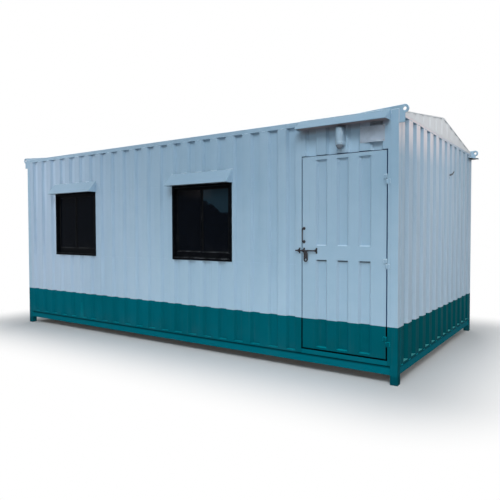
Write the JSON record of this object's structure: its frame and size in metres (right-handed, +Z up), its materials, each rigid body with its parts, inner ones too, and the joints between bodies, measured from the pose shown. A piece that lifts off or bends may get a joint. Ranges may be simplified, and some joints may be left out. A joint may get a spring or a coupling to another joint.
{
  "type": "portable site cabin",
  "caption": "Portable steel site cabin on four legs: fluted walls, low gable roof, hooded sliding windows, a hinged door with slide bolt, and lifting lugs.",
  "frame": {"origin": "on the ground, in the middle of the bounding box in plan", "axes": "+X along the cabin to the right as seen facing the door side, +Y from the door side to the back, +Z up"},
  "size_m": [6.31, 3.17, 2.7783],
  "materials": {
    "wall_paint": "satin",
    "band_paint": "satin",
    "roof_sheet": "satin",
    "window_frame": "satin",
    "window_glass": "tinted, glossy",
    "bare_steel": "weathered",
    "floor": "matte",
    "ceiling": "matte",
    "lamp": "gloss"
  },
  "bodies": {
    "root": {"leg_post_front_left": "wall_paint", "leg_post_front_right": "wall_paint", "leg_post_rear_left": "wall_paint", "leg_post_rear_right": "wall_paint", "base_front": "band_paint", "base_rear": "band_paint", "base_left": "band_paint", "base_right": "band_paint", "floor_joists": "band_paint", "floor_board": "floor", "top_rail_front": "wall_paint", "top_rail_rear": "wall_paint", "top_rail_left": "wall_paint", "top_rail_right": "wall_paint", "front_wall_lower": "wall_paint", "front_wall_upper": "wall_paint", "front_wall_pier_left": "wall_paint", "front_wall_pier_middle": "wall_paint", "front_wall_pier_right": "wall_paint", "front_wall_over_door": "wall_paint", "rear_wall": "wall_paint", "left_wall": "wall_paint", "right_wall": "wall_paint", "door_jamb_lock": "wall_paint", "door_jamb_hinge": "wall_paint", "door_sill": "band_paint", "window_frame_left": "window_frame", "window_sashes_left": "window_frame", "window_glass_left": "window_glass", "window_frame_right": "window_frame", "window_sashes_right": "window_frame", "window_glass_right": "window_glass", "window_hood_left": "wall_paint", "window_hood_right": "wall_paint", "door_canopy": "wall_paint", "door_lamp": "lamp", "post_hinge_halves": "wall_paint", "bolt_keeper": "bare_steel", "ceiling": "ceiling", "roof_front": "roof_sheet", "roof_rear": "roof_sheet", "ridge_cap": "roof_sheet", "gable_left": "roof_sheet", "gable_right": "roof_sheet", "lifting_lug_front_left": "wall_paint", "lifting_lug_front_right": "wall_paint", "lifting_lug_rear_left": "wall_paint", "lifting_lug_rear_right": "wall_paint"},
    "door": {"door_leaf": "wall_paint", "door_hinge_halves": "wall_paint", "door_handle": "bare_steel", "bolt_guides": "bare_steel"},
    "bolt": {"slide_bolt": "bare_steel"}
  },
  "joints": [
    {"name": "door_swing", "type": "hinge", "parent": "root", "child": "door", "pos_m": [2.94, -1.476, 1.135], "axis": [0, 0, 1], "range_deg": [0, 165]},
    {"name": "bolt_slide", "type": "slide", "parent": "door", "child": "bolt", "axis": [1, 0, 0], "range_m": [0, 0.085]}
  ]
}
